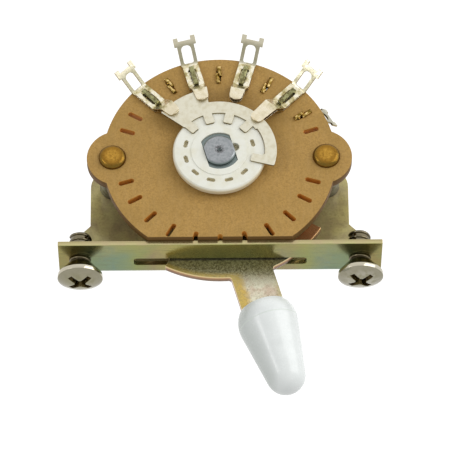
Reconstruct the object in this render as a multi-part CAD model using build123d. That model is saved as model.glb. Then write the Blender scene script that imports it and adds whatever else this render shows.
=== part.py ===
from build123d import *
import math
import os

# A five-position lever switch for a guitar's pickups.
# A folded steel frame hangs under the guitar's control plate by two screws. A steel lever with a
# plastic tip turns on a shaft behind the mounting strip, and a spring leaf holds it in one of five
# notches. The shaft turns a moulded rotor in a laminate wafer, where sheet contacts grip the
# rotor's blades.
#
# Millimetres. The origin is on the outer face of the mounting strip, midway between the screws.
# +Z points out of the strip, towards the knob, and the wafer looks towards -Y.
# "Up" below is the distance behind the strip's outer face, so along -Z. "Depth" is the distance in
# front of the line of the screws, so along -Y. Angles round the pivot are clockwise from -Z for
# someone who looks at the wafer.

# Mounting strip and rear wall
SHEET = 0.76
BEND = 0.5
SCREW_PITCH = 41.3
STRIP_END_MARGIN = 3.2
STRIP_WIDTH = 8.4
LEVER_SLOT_LENGTH = 25.5
LEVER_SLOT_WIDTH = 1.9
LEVER_SLOT_CORNER = 0.5
WALL_INSET = 4.5
FLARE_START = 3.35
WALL_TOP = 28.0
POST_GAP_HALF = 9.3
POST_LOW = 19.5
POST_FRONT = 0.9

# Screws
SCREW_RADIUS = 1.5
SCREW_HEAD_RADIUS = 3.33
SCREW_CONE_ANGLE = 82.0
SCREW_RIM_HEIGHT = 2.6
SCREW_LAND = 0.6
SCREW_DOME = 0.9
SCREW_TIP_UP = 4.1
SCREW_POINT = 0.25
RECESS_SPAN = 4.3
RECESS_WIDTH = 0.95
RECESS_CORE_WIDTH = 1.65
RECESS_DEPTH = 1.7
RECESS_TAPER_ANGLE = 14.0
RECESS_ANGLES = {"left": 40.0, "right": 46.0}

# Pivot, shaft and bushing
PIVOT_UP = 14.5
JOURNAL_RADIUS = 2.0
SHAFT_RADIUS = 2.4
SHAFT_FLAT = 2.15
SHAFT_CHAMFER = 0.3
SHAFT_PROUD = 0.55
SHAFT_END_RADIUS = 2.5
SHAFT_SHOULDER_BELOW = 0.1
CENTRE_MARK_RADIUS = 0.5
CENTRE_MARK_DEPTH = 0.3
SHAFT_TAIL = 0.45
COLLAR_RADIUS = 3.4
COLLAR_THICKNESS = 0.7
BUSHING_SEAT_RADIUS = 3.0
BUSHING_SLEEVE_RADIUS = 3.3
BUSHING_FLANGE_RADIUS = 4.2
BUSHING_FLANGE = 0.8
STAKE_LIP = 0.25
STAKE_LIP_RADIUS = 3.4
WASHER_RADIUS = 3.7
WASHER_THICKNESS = 0.25
RING_RADIUS = 3.3
RING_THICKNESS = 0.38
GROOVE_RADIUS = 1.6

# Lever
LEVER_THICKNESS = 1.25
LEVER_SETBACK = 0.7
LEVER_LEAN = 15.5
POSITIONS = 5
FAN_RADIUS = 17.6
FAN_HALF_ANGLE = 43.0
FAN_FILLET = 0.5
ARM_WIDTH = 6.35
SHOULDER_RADIUS = 23.3
TONGUE_WIDTH = 3.6
TONGUE_END_RADIUS = 31.0
HUB_RADIUS = 6.2
HEAD_RADIUS = 11.2
HEAD_HALF_ANGLE = 39.3
NOTCH_DEPTH = 0.45

# Knob
KNOB_BASE_RADIUS = 4.43
KNOB_TIP_RADIUS = 2.92
KNOB_BASE_FROM_PIVOT = 26.0
KNOB_TIP_FROM_PIVOT = 34.95
KNOB_FACE_FROM_PIVOT = 23.6

# Wafer
WAFER_THICKNESS = 1.5
WAFER_FRONT = 5.15
WAFER_RIM_MARGIN = 2.87
WAFER_EAR_RADIUS = 4.7
WAFER_EAR_INSET = 0.875
SLOT_RING_RADIUS = 14.43
SLOT_LENGTH = 2.35
SLOT_WIDTH = 0.7
SLOT_STEP_ANGLE = 15
EAR_SLOT_ANGLES = (71.5, 107.0)

# Rivets and spacers
RIVET_PITCH = 31.75
RIVET_HEAD_RADIUS = 2.05
RIVET_HEAD_HEIGHT = 0.75
RIVET_HEAD_RIM = 0.15
RIVET_FACE_RADIUS = 1.3
RIVET_SHANK_RADIUS = 1.15
RIVET_TAIL_RADIUS = 1.8
RIVET_TAIL_HEIGHT = 0.6
RIVET_TAIL_BORE = 0.7
SPACER_RADIUS = 2.1

# Rotor
ROTOR_RADIUS = 6.9
ROTOR_THICKNESS = 1.0
ROTOR_RISE = 1.75
ROTOR_EDGE = 0.25
ROTOR_OVERHANG = 1.3
SPIGOT_WALL = 1.25
ROTOR_LAND_WALL = 1.05
ROTOR_LAND_HEIGHT = 0.12
REAR_DISC_GAP = 0.5
REAR_DISC_THICKNESS = 0.9
SOCKET_RADIUS = 3.15
SOCKET_NOTCH_RADIUS = 0.7
SOCKET_NOTCH_OUTSET = 0.15
SOCKET_NOTCH_DEPTH = 0.9
POCKET_COUNT = 12
POCKET_INSET = 1.78
POCKET_LENGTH = 1.3
POCKET_WIDTH = 0.6
POCKET_DEPTH = 0.75

# Rotor blades
BLADE_THICKNESS = 0.3
BLADE_SEAT = 0.4
BLADE_WIDTH = 2.0
BLADE_START_ANGLE = -37.0
SECTOR_GAP = 0.15
FRONT_SECTOR_ANGLES = (-37.0, 5.0)
REAR_SECTOR_ANGLES = (-22.0, 20.0)
TAB_ANGLES = (-30.0, 0.0, 30.0, 60.0, 120.0)
TAB_WIDTH = 1.35
TAB_LAND_GAP = 0.65
TAB_CORNER = 0.25
BLADE_RELIEF = 0.25
BLADE_RELIEF_ANGLES = (72.0, 112.0)

# Contact lugs
LUG_SHEET = 0.3
LUG_WIDTH = 2.45
LUG_INSET = 2.03
LUG_OUTSET = 2.47
TAG_WIDTH = 2.6
TAG_LENGTH = 3.8
TAG_HORN = 0.57
HORN_WIDTH = 0.7
CROSSBAR_WIDTH = 3.36
CROSSBAR_HEIGHT = 0.8
WINDOW_WIDTH = 1.55
WINDOW_START = 0.3
WINDOW_LENGTH = 2.72
WINDOW_CORNER = 0.3
WINDOW_ARCH = 0.65
FRONT_TAG_ANGLE = 35.0
REAR_TAG_ANGLE = 50.0
FRONT_LUG_ANGLES = (-45.0, -15.0, 15.0, 45.0)
REAR_LUG_ANGLES = (-30.0, 0.0, 30.0, 60.0)

# Jaws of the contacts, and the clips that carry the outer jaws
JAW_TIP_WIDTH = 1.95
JAW_SLOPE_LENGTH = 1.4
JAW_OVERLAP = 1.95
COMMON_JAW_OVERLAP = 1.4
CLIP_SHEET = 0.25
CLIP_OUTSET = 2.07
CLIP_WINDOW_WIDTH = 1.2
CLIP_WINDOW_LENGTH = 2.85
CLIP_LIP = 0.3
CLIP_LEAD = 0.3

# Staples that hold the lugs and clips to the wafer
CROWN_LENGTH = 3.25
CROWN_WIDTH = 0.72
CROWN_HEIGHT = 0.5
CROWN_EDGE = 0.18
LEG_WIDTH = 0.45
LEG_DEPTH = 0.45
LEG_INSET = 0.15
PRONG_REACH = 1.45
PRONG_LENGTH = 1.7
PRONG_ROOT_WIDTH = 0.64
PRONG_TIP_WIDTH = 0.4
PRONG_TIP_ASIDE = 0.3

# Detent leaf
LEAF_THICKNESS = 0.3
LEAF_WIDTH = 2.0
LEAF_LIFT = 0.15
LEAF_DROP = 1.6
LEAF_TAIL = 0.85

# Clearances: between pieces that stay together, and between pieces that turn
SLIP = 0.05
RUNNING = 0.03

# Places worked out from the sizes above
STRIP_LENGTH = SCREW_PITCH + 2 * STRIP_END_MARGIN
SCREW_HOLE_RADIUS = SCREW_RADIUS + SLIP
WALL_HALF = STRIP_LENGTH / 2 - WALL_INSET
WALL_BACK = -STRIP_WIDTH / 2
WALL_FRONT = WALL_BACK + SHEET
LEVER_BACK = -LEVER_SETBACK - LEVER_THICKNESS / 2
LEVER_FRONT = LEVER_BACK + LEVER_THICKNESS
COLLAR_FRONT = LEVER_FRONT + COLLAR_THICKNESS
WAFER_BACK = WAFER_FRONT - WAFER_THICKNESS
ROTOR_FRONT = WAFER_FRONT + ROTOR_RISE
REAR_RISE = REAR_DISC_GAP + REAR_DISC_THICKNESS
REAR_DISC_FRONT = WAFER_BACK - REAR_DISC_GAP
REAR_DISC_BACK = WAFER_BACK - REAR_RISE
SHAFT_BAR_RADIUS = SOCKET_RADIUS - SLIP
SHAFT_SHOULDER = ROTOR_FRONT - SHAFT_SHOULDER_BELOW
SHAFT_FRONT = ROTOR_FRONT + SHAFT_PROUD
BUSHING_FRONT = LEVER_BACK - RUNNING
BUSHING_BACK = WALL_BACK - STAKE_LIP
WASHER_FRONT = BUSHING_BACK - RUNNING
WASHER_BACK = WASHER_FRONT - WASHER_THICKNESS
GROOVE_BACK = WASHER_BACK - RING_THICKNESS - 2 * RUNNING
SHAFT_BACK = GROOVE_BACK - SHAFT_TAIL
RIVET_HALF = RIVET_PITCH / 2
WAFER_RADIUS = SLOT_RING_RADIUS + WAFER_RIM_MARGIN
WAFER_FLAT_UP = SHEET + SLIP
WAFER_EAR_CENTRE = RIVET_HALF - WAFER_EAR_INSET
SPIGOT_RADIUS = SOCKET_RADIUS + SPIGOT_WALL
ROTOR_LAND_RADIUS = SOCKET_RADIUS + ROTOR_LAND_WALL
ROTOR_HUB_RADIUS = ROTOR_RADIUS - ROTOR_OVERHANG
POCKET_RING_RADIUS = ROTOR_RADIUS - POCKET_INSET
BLADE_INNER_RADIUS = ROTOR_RADIUS - BLADE_SEAT
BLADE_RADIUS = BLADE_INNER_RADIUS + BLADE_WIDTH
TAB_INNER_RADIUS = ROTOR_LAND_RADIUS + TAB_LAND_GAP
LUG_INNER = SLOT_RING_RADIUS - LUG_INSET
LUG_BEND = SLOT_RING_RADIUS + LUG_OUTSET
JAW_ROOT = LUG_INNER - JAW_SLOPE_LENGTH
SECTOR_RADIUS = JAW_ROOT - SECTOR_GAP
JAW_TIP = SECTOR_RADIUS - JAW_OVERLAP
COMMON_JAW_TIP = BLADE_RADIUS - COMMON_JAW_OVERLAP
CLIP_OUTER = SLOT_RING_RADIUS + CLIP_OUTSET
CROWN_SEAT = LUG_SHEET + CLIP_SHEET + 2 * SLIP
LEG_OUTER = SLOT_LENGTH / 2 - LEG_INSET
POST_OUTER = POST_GAP_HALF + SHEET
LEAF_CREST = HEAD_RADIUS + LEAF_LIFT + LEAF_THICKNESS / 2
LEAF_ANCHOR = LEAF_CREST - LEAF_DROP

os.makedirs("parts", exist_ok=True)


def facing(depth, up=PIVOT_UP):
    """A plane that looks out of the wafer side, with its y axis pointing away from the knob."""
    return Plane(origin=(0, -depth, -up), x_dir=(-1, 0, 0), z_dir=(0, -1, 0))


def slab(profile, back, front, up=PIVOT_UP):
    """A flat piece cut to a profile, between two depths."""
    return extrude(facing(back, up) * profile, front - back)


def turned(*edges):
    """A turned piece on the pivot axis, from its half section in (radius, depth)."""
    half_section = make_face(Curve() + list(edges))
    upright = Plane(origin=(0, 0, -PIVOT_UP), x_dir=(1, 0, 0), z_dir=(0, 0, 1))
    return revolve(upright * mirror(half_section, about=Plane.XZ), Axis((0, 0, -PIVOT_UP), (0, 1, 0)))


def pill(length, width):
    """A short slot's outline, with its corners clipped to near-round ends."""
    outline = Rectangle(length, width)
    return chamfer(outline.vertices(), min(length, width) * (1 - math.sqrt(0.5)))


def double_flat(radius, flat):
    """A round section with two parallel flats."""
    return Circle(radius) & Rectangle(2 * flat, 2 * radius)


def on_lever(shape):
    """Turns something drawn along the lever to the lever's place at rest."""
    return Rot(0, 0, LEVER_LEAN) * shape


def at_angle(shape, angle):
    """Turns something drawn along the y axis to an angle round the pivot."""
    return Rot(0, 0, -angle) * shape


def sector(radius, start, end):
    """A pie slice between two angles."""
    steps = max(2, math.ceil((end - start) / 60))
    spokes = [math.radians(start + (end - start) * i / steps) for i in range(steps + 1)]
    rim = [(2 * radius * math.sin(a), 2 * radius * math.cos(a)) for a in spokes]
    return Circle(radius) & make_face(Polyline((0, 0), *rim, close=True))


def dome_arc(radius, height, base, flat=0):
    """The arc of a domed head, from its rim to its top, which may have a flat middle."""
    reach = radius - flat
    sphere = (reach ** 2 + height ** 2) / (2 * height)
    half_angle = math.asin(reach / sphere) / 2
    crown = (flat + sphere * math.sin(half_angle), base + height - sphere * (1 - math.cos(half_angle)))
    return ThreePointArc((radius, base), crown, (flat, base + height))


def rounded_at(profile, point, radius):
    """Rounds the corner of a profile that lies nearest to a point."""
    corner = profile.vertices().sort_by_distance((*point, 0))[0]
    return fillet(corner, radius)


def save(shape, node):
    """Writes one piece to a file of its own."""
    export_step(shape, f"parts/{node}.step")


def frame():
    """The strip and the wall behind the wafer, folded from one sheet, with two posts for the leaf."""
    half = STRIP_LENGTH / 2
    section = make_face(Polyline(
        (WALL_BACK, 0), (-WALL_BACK, 0), (-WALL_BACK, -WALL_TOP), (-WALL_FRONT, -WALL_TOP),
        (-WALL_FRONT, -SHEET), (WALL_BACK, -SHEET), close=True))
    section = rounded_at(section, (-WALL_BACK, 0), BEND + SHEET)
    section = rounded_at(section, (-WALL_FRONT, -SHEET), BEND)
    folded = extrude(Plane.YZ * section, half, both=True)

    neck_half = POST_GAP_HALF - 2 * BEND
    flare_end = FLARE_START + half - WALL_HALF
    outline = make_face(Polyline(
        (-half, 0), (half, 0), (half, FLARE_START), (WALL_HALF, flare_end), (WALL_HALF, PIVOT_UP),
        (-WALL_HALF, PIVOT_UP), (-WALL_HALF, flare_end), (-half, FLARE_START), close=True))
    for side in (-1, 1):
        outline += Pos(side * RIVET_HALF, PIVOT_UP) * Circle(WALL_HALF - RIVET_HALF)
    outline += Pos(0, (PIVOT_UP + WALL_TOP) / 2) * Rectangle(2 * neck_half, WALL_TOP - PIVOT_UP)
    body = folded & slab(outline, WALL_BACK, -WALL_BACK, up=0)

    post_section = make_face(Polyline(
        (neck_half, -WALL_FRONT), (POST_GAP_HALF, -WALL_FRONT), (POST_GAP_HALF, -POST_FRONT),
        (POST_OUTER, -POST_FRONT), (POST_OUTER, -WALL_BACK), (neck_half, -WALL_BACK), close=True))
    post_section = rounded_at(post_section, (POST_OUTER, -WALL_BACK), BEND + SHEET)
    post_section = rounded_at(post_section, (POST_GAP_HALF, -WALL_FRONT), BEND)
    post = extrude(Pos(0, 0, -WALL_TOP) * post_section, WALL_TOP - POST_LOW)
    body = body + post + mirror(post, about=Plane.YZ)

    lever_slot = RectangleRounded(LEVER_SLOT_LENGTH, LEVER_SLOT_WIDTH, LEVER_SLOT_CORNER)
    strip_cut = Pos(0, LEVER_SETBACK) * lever_slot
    for side in (-1, 1):
        strip_cut += Pos(side * SCREW_PITCH / 2, 0) * Circle(SCREW_HOLE_RADIUS)
    body -= extrude(strip_cut, 2 * SHEET, both=True)

    wall_cut = Circle(BUSHING_SEAT_RADIUS + RUNNING)
    for side in (-1, 1):
        wall_cut += Pos(side * RIVET_HALF, 0) * Circle(RIVET_SHANK_RADIUS + SLIP)
    body -= slab(wall_cut, WALL_BACK, WALL_FRONT)

    leaf_hole = Box(2 * POST_OUTER, LEAF_WIDTH + 4 * SLIP, 2 * LEAF_THICKNESS)
    return body - Pos(0, LEVER_SETBACK, -PIVOT_UP - LEAF_ANCHOR) * leaf_hole


def mounting_screw(side):
    """An oval-head machine screw with a cross recess."""
    cone = (SCREW_HEAD_RADIUS - SCREW_RADIUS) / math.tan(math.radians(SCREW_CONE_ANGLE / 2))
    land_top = SCREW_RIM_HEIGHT + SCREW_LAND
    top = land_top + SCREW_DOME
    sides = Polyline(
        (0, top), (0, -SCREW_TIP_UP), (SCREW_RADIUS - SCREW_POINT, -SCREW_TIP_UP),
        (SCREW_RADIUS, SCREW_POINT - SCREW_TIP_UP), (SCREW_RADIUS, SCREW_RIM_HEIGHT - cone),
        (SCREW_HEAD_RADIUS, SCREW_RIM_HEIGHT), (SCREW_HEAD_RADIUS, land_top))
    dome = dome_arc(SCREW_HEAD_RADIUS, SCREW_DOME, land_top)
    screw = revolve(Plane.XZ * make_face(Curve() + [sides, dome]), Axis.Z)
    cross = Rectangle(RECESS_SPAN, RECESS_WIDTH) + Rectangle(RECESS_WIDTH, RECESS_SPAN)
    cross += Rot(0, 0, 45) * Rectangle(RECESS_CORE_WIDTH, RECESS_CORE_WIDTH)
    cross = Pos(0, 0, top) * Rot(0, 0, RECESS_ANGLES[side]) * cross
    recess = extrude(cross, -RECESS_DEPTH, taper=RECESS_TAPER_ANGLE)
    offset_x = -SCREW_PITCH / 2 if side == "left" else SCREW_PITCH / 2
    return Pos(offset_x, 0, 0) * (screw - recess)


def lever():
    """The stamped lever: a notched head, a fan that closes the slot, an arm and a tongue."""
    profile = Circle(HUB_RADIUS)
    profile += sector(FAN_RADIUS, 180 - FAN_HALF_ANGLE, 180 + FAN_HALF_ANGLE)
    profile += sector(HEAD_RADIUS, -HEAD_HALF_ANGLE, HEAD_HALF_ANGLE)
    profile += Pos(0, -SHOULDER_RADIUS / 2) * Rectangle(ARM_WIDTH, SHOULDER_RADIUS)
    root_y = -math.sqrt(FAN_RADIUS ** 2 - (ARM_WIDTH / 2) ** 2)
    for side in (-1, 1):
        profile = rounded_at(profile, (side * ARM_WIDTH / 2, root_y), FAN_FILLET)
    tongue_length = TONGUE_END_RADIUS - TONGUE_WIDTH / 2
    profile += Pos(0, -tongue_length / 2) * Rectangle(TONGUE_WIDTH, tongue_length)
    profile += Pos(0, -tongue_length) * Circle(TONGUE_WIDTH / 2)
    notch_half = 2 * NOTCH_DEPTH
    notch = Pos(0, HEAD_RADIUS - NOTCH_DEPTH + notch_half) * Rot(0, 0, 45) * Rectangle(
        notch_half * math.sqrt(2), notch_half * math.sqrt(2))
    index = 2 * LEVER_LEAN / (POSITIONS - 1)
    for position in range(POSITIONS):
        profile -= at_angle(notch, index * position - LEVER_LEAN)
    profile -= double_flat(SHAFT_RADIUS + SLIP, SHAFT_FLAT + SLIP)
    return slab(on_lever(profile), LEVER_BACK, LEVER_FRONT)


def knob():
    """The plastic tip: a ball at the base, a straight taper and a rounded end, pushed on the tongue."""
    taper = math.asin((KNOB_BASE_RADIUS - KNOB_TIP_RADIUS) / (KNOB_TIP_FROM_PIVOT - KNOB_BASE_FROM_PIVOT))

    def on_base(angle):
        return (KNOB_BASE_RADIUS * math.cos(angle), -KNOB_BASE_FROM_PIVOT + KNOB_BASE_RADIUS * math.sin(angle))

    def on_tip(angle):
        return (KNOB_TIP_RADIUS * math.cos(angle), -KNOB_TIP_FROM_PIVOT + KNOB_TIP_RADIUS * math.sin(angle))

    face_angle = math.asin((KNOB_BASE_FROM_PIVOT - KNOB_FACE_FROM_PIVOT) / KNOB_BASE_RADIUS)
    base = ThreePointArc(on_base(face_angle), on_base((face_angle - taper) / 2), on_base(-taper))
    side = Line(on_base(-taper), on_tip(-taper))
    tip = ThreePointArc(on_tip(-taper), on_tip((-taper - math.pi / 2) / 2), on_tip(-math.pi / 2))
    axis_line = Polyline(on_tip(-math.pi / 2), (0, -KNOB_FACE_FROM_PIVOT), on_base(face_angle))
    body = revolve(make_face(Curve() + [base, side, tip, axis_line]), Axis.Y)
    slot_depth = LEVER_THICKNESS + 2 * SLIP
    body -= Pos(0, -TONGUE_END_RADIUS / 2 - SLIP) * Box(TONGUE_WIDTH + 2 * SLIP, TONGUE_END_RADIUS, slot_depth)
    body -= Pos(0, -SHOULDER_RADIUS / 2 - SLIP) * Box(ARM_WIDTH + 2 * SLIP, SHOULDER_RADIUS, slot_depth)
    middle = (LEVER_BACK + LEVER_FRONT) / 2
    return facing(middle).location * on_lever(body)


def shaft():
    """The steel shaft: a journal, flats for lever and rotor, a collar between them and a turned-down end."""
    outline = Polyline(
        (0, SHAFT_BACK), (JOURNAL_RADIUS - SHAFT_CHAMFER, SHAFT_BACK),
        (JOURNAL_RADIUS, SHAFT_BACK + SHAFT_CHAMFER),
        (JOURNAL_RADIUS, GROOVE_BACK), (GROOVE_RADIUS, GROOVE_BACK), (GROOVE_RADIUS, WASHER_BACK),
        (JOURNAL_RADIUS, WASHER_BACK), (JOURNAL_RADIUS, LEVER_BACK), (SHAFT_RADIUS, LEVER_BACK),
        (SHAFT_RADIUS, LEVER_FRONT), (COLLAR_RADIUS, LEVER_FRONT), (COLLAR_RADIUS, COLLAR_FRONT),
        (SHAFT_BAR_RADIUS, COLLAR_FRONT), (SHAFT_BAR_RADIUS, SHAFT_SHOULDER), (SHAFT_END_RADIUS, SHAFT_SHOULDER),
        (SHAFT_END_RADIUS, SHAFT_FRONT - SHAFT_CHAMFER), (SHAFT_END_RADIUS - SHAFT_CHAMFER, SHAFT_FRONT),
        (CENTRE_MARK_RADIUS, SHAFT_FRONT), (0, SHAFT_FRONT - CENTRE_MARK_DEPTH), close=True)
    body = turned(outline)
    beside_flats = Circle(2 * SHAFT_BAR_RADIUS) - Rectangle(2 * SHAFT_FLAT, 4 * SHAFT_BAR_RADIUS)
    for back, front in ((LEVER_BACK, LEVER_FRONT), (COLLAR_FRONT, SHAFT_FRONT)):
        body -= slab(on_lever(beside_flats), back, front)
    return body


def pivot_bushing():
    """The flanged bushing staked into the wall, in which the shaft turns."""
    bore = JOURNAL_RADIUS + RUNNING
    return turned(Polyline(
        (bore, BUSHING_BACK), (STAKE_LIP_RADIUS, BUSHING_BACK), (STAKE_LIP_RADIUS, WALL_BACK),
        (BUSHING_SEAT_RADIUS, WALL_BACK), (BUSHING_SEAT_RADIUS, WALL_FRONT),
        (BUSHING_FLANGE_RADIUS, WALL_FRONT),
        (BUSHING_FLANGE_RADIUS, WALL_FRONT + BUSHING_FLANGE), (BUSHING_SLEEVE_RADIUS, WALL_FRONT + BUSHING_FLANGE),
        (BUSHING_SLEEVE_RADIUS, BUSHING_FRONT), (bore, BUSHING_FRONT), close=True))


def thrust_washer():
    """The washer between the bushing and the retaining ring."""
    return slab(Circle(WASHER_RADIUS) - Circle(JOURNAL_RADIUS + SLIP), WASHER_BACK, WASHER_FRONT)


def retaining_ring():
    """The three-lobed clip that snaps into the shaft's groove."""
    back = GROOVE_BACK + RUNNING
    seat = GROOVE_RADIUS + SLIP
    ring = Circle(RING_RADIUS) - Circle(seat)
    for angle in (60, 300):
        ring -= at_angle(Pos(0, seat + 0.35) * Circle(0.55), angle)
    mouth = Pos(0, -RING_RADIUS) * Rectangle(1.7 * GROOVE_RADIUS, 2 * RING_RADIUS)
    return slab(ring - mouth, back, back + RING_THICKNESS)


def rotor():
    """The moulded rotor: a front disc and a hub that turns in the wafer, with a socket for the shaft."""
    disc = slab(Circle(ROTOR_RADIUS), ROTOR_FRONT - ROTOR_THICKNESS, ROTOR_FRONT)
    front_rim = disc.edges().filter_by(GeomType.CIRCLE).sort_by(Axis.Y)[0]
    body = chamfer(front_rim, ROTOR_EDGE)
    body += slab(Circle(ROTOR_LAND_RADIUS), ROTOR_FRONT, ROTOR_FRONT + ROTOR_LAND_HEIGHT)
    body += slab(Circle(ROTOR_HUB_RADIUS), REAR_DISC_FRONT, ROTOR_FRONT - ROTOR_THICKNESS)
    body += slab(Circle(SPIGOT_RADIUS), REAR_DISC_BACK, REAR_DISC_FRONT)
    land_front = ROTOR_FRONT + ROTOR_LAND_HEIGHT
    body -= slab(on_lever(double_flat(SOCKET_RADIUS, SHAFT_FLAT + SLIP)), REAR_DISC_BACK, land_front)
    notch = Pos(SHAFT_FLAT + SLIP + SOCKET_NOTCH_OUTSET, 0) * Circle(SOCKET_NOTCH_RADIUS)
    body -= slab(on_lever(notch), land_front - SOCKET_NOTCH_DEPTH, land_front)
    return body - pockets(ROTOR_FRONT - POCKET_DEPTH, ROTOR_FRONT)


def pockets(back, front):
    """The ring of small pockets that blade tabs can be crimped into."""
    pocket = Pos(0, POCKET_RING_RADIUS) * pill(POCKET_LENGTH, POCKET_WIDTH)
    step = 360 / POCKET_COUNT
    ring = Sketch() + [at_angle(pocket, step * i) for i in range(POCKET_COUNT)]
    return slab(on_lever(ring), back, front)


def rotor_rear_disc():
    """The disc pressed on the rotor's spigot behind the wafer."""
    disc = slab(Circle(ROTOR_RADIUS) - Circle(SPIGOT_RADIUS), REAR_DISC_BACK, REAR_DISC_FRONT)
    return disc - pockets(REAR_DISC_BACK, REAR_DISC_BACK + POCKET_DEPTH)


def blade(wide_start, wide_end, back):
    """A blade: a ring held by tabs on the rotor, with a sector that reaches the outer contacts."""
    last_tab = TAB_ANGLES[-1]
    profile = sector(BLADE_RADIUS, BLADE_START_ANGLE, last_tab)
    profile += sector(SECTOR_RADIUS, wide_start, wide_end)
    profile -= Circle(BLADE_INNER_RADIUS)
    profile -= sector(BLADE_INNER_RADIUS + BLADE_RELIEF, *BLADE_RELIEF_ANGLES)
    for angle in TAB_ANGLES:
        outer = BLADE_RADIUS if angle == last_tab else BLADE_INNER_RADIUS + TAB_CORNER
        tab = RectangleRounded(TAB_WIDTH, outer - TAB_INNER_RADIUS, TAB_CORNER)
        profile += at_angle(Pos(0, (outer + TAB_INNER_RADIUS) / 2) * tab, angle)
    return slab(on_lever(profile), back, back + BLADE_THICKNESS)


def wafer():
    """The laminate wafer: a disc with two riveted ears, a flat and a ring of slots."""
    profile = Circle(WAFER_RADIUS)
    for side in (-1, 1):
        profile += Pos(side * WAFER_EAR_CENTRE, 0) * Circle(WAFER_EAR_RADIUS)
    below_flat = PIVOT_UP - WAFER_FLAT_UP + WAFER_RADIUS
    profile -= Pos(0, -below_flat) * Rectangle(2 * WAFER_RADIUS, 2 * WAFER_RADIUS)
    profile -= Circle(ROTOR_HUB_RADIUS + SLIP)
    for side in (-1, 1):
        profile -= Pos(side * RIVET_HALF, 0) * Circle(RIVET_SHANK_RADIUS + SLIP)
    beside_rivets = (90 - SLOT_STEP_ANGLE, 90, 90 + SLOT_STEP_ANGLE)
    angles = [a for a in range(-180, 180, SLOT_STEP_ANGLE) if abs(a) not in beside_rivets]
    angles += [side * a for a in EAR_SLOT_ANGLES for side in (-1, 1)]
    slot = Pos(0, SLOT_RING_RADIUS) * pill(SLOT_WIDTH, SLOT_LENGTH)
    profile -= [at_angle(slot, angle) for angle in angles]
    return slab(profile, WAFER_BACK, WAFER_FRONT)


def wafer_rivet(side):
    """A brass rivet through the wafer's ear, the spacer and the wall."""
    tail_top = WALL_BACK - RIVET_TAIL_HEIGHT
    head_top = WAFER_FRONT + RIVET_HEAD_HEIGHT
    head_rim = WAFER_FRONT + RIVET_HEAD_RIM
    sides = Polyline(
        (RIVET_FACE_RADIUS, head_top), (0, head_top), (0, WALL_BACK), (RIVET_TAIL_BORE, tail_top),
        (RIVET_TAIL_RADIUS - RIVET_TAIL_HEIGHT / 2, tail_top),
        (RIVET_TAIL_RADIUS, WALL_BACK - RIVET_TAIL_HEIGHT / 2),
        (RIVET_TAIL_RADIUS, WALL_BACK), (RIVET_SHANK_RADIUS, WALL_BACK), (RIVET_SHANK_RADIUS, WAFER_FRONT),
        (RIVET_HEAD_RADIUS, WAFER_FRONT), (RIVET_HEAD_RADIUS, head_rim))
    shoulder = dome_arc(RIVET_HEAD_RADIUS, head_top - head_rim, head_rim, flat=RIVET_FACE_RADIUS)
    return Pos(side * RIVET_HALF, 0, 0) * turned(sides, shoulder)


def wafer_spacer(side):
    """The tube that holds the wafer off the wall."""
    ring = Circle(SPACER_RADIUS) - Circle(RIVET_SHANK_RADIUS + SLIP)
    return slab(Pos(-side * RIVET_HALF, 0) * ring, WALL_FRONT, WAFER_BACK)


def bent_sheet(points, sheet, width):
    """A strip of sheet bent along the (radius, height) points of its middle line."""
    side_view = trace(Polyline(*points), sheet)
    return extrude(Plane.YZ * side_view, width / 2, both=True)


def jaw_plan(tip):
    """The outline of a jaw seen from the front, which narrows from the foot to a rounded tip."""
    tip_half = JAW_TIP_WIDTH / 2
    taper = make_face(Polyline(
        (-LUG_WIDTH / 2, LUG_INNER), (LUG_WIDTH / 2, LUG_INNER), (tip_half, tip + tip_half),
        (-tip_half, tip + tip_half), close=True))
    return taper + Pos(0, tip + tip_half) * Circle(tip_half)


def contact_lug(tip, rise, tilt):
    """A solder lug: a windowed tag, a foot on the wafer and the inner jaw, bent from one sheet."""
    foot = LUG_SHEET / 2
    jaw = rise - RUNNING - LUG_SHEET / 2
    strip = bent_sheet([(LUG_BEND, foot), (LUG_INNER, foot), (JAW_ROOT, jaw), (tip, jaw)], LUG_SHEET, LUG_WIDTH)
    plan = jaw_plan(tip)
    plan += Pos(0, (LUG_INNER + LUG_BEND) / 2) * Rectangle(LUG_WIDTH, LUG_BEND - LUG_INNER)
    plan -= Pos(0, SLOT_RING_RADIUS) * Rectangle(LEG_WIDTH + 2 * SLIP, 2 * (LEG_OUTER + SLIP))
    strip &= extrude(plan, 2 * rise)

    window_middle = WINDOW_START + WINDOW_LENGTH / 2
    tag = Pos(0, TAG_LENGTH / 2) * Rectangle(TAG_WIDTH, TAG_LENGTH)
    tag += Pos(0, TAG_LENGTH - CROSSBAR_HEIGHT / 2) * Rectangle(CROSSBAR_WIDTH, CROSSBAR_HEIGHT)
    for side in (-1, 1):
        horn_x = side * (CROSSBAR_WIDTH - HORN_WIDTH) / 2
        tag += Pos(horn_x, TAG_LENGTH) * Rectangle(HORN_WIDTH, 2 * TAG_HORN)
    window = RectangleRounded(WINDOW_WIDTH, WINDOW_LENGTH, WINDOW_CORNER)
    arch = RectangleRounded(WINDOW_WIDTH, WINDOW_LENGTH, WINDOW_ARCH)
    above = Pos(0, WINDOW_LENGTH / 4) * Rectangle(WINDOW_WIDTH, WINDOW_LENGTH / 2)
    tag -= Pos(0, window_middle) * (window - (above - arch))
    return strip + Pos(0, LUG_BEND, 0) * Rot(tilt, 0, 0) * extrude(tag, LUG_SHEET)


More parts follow.
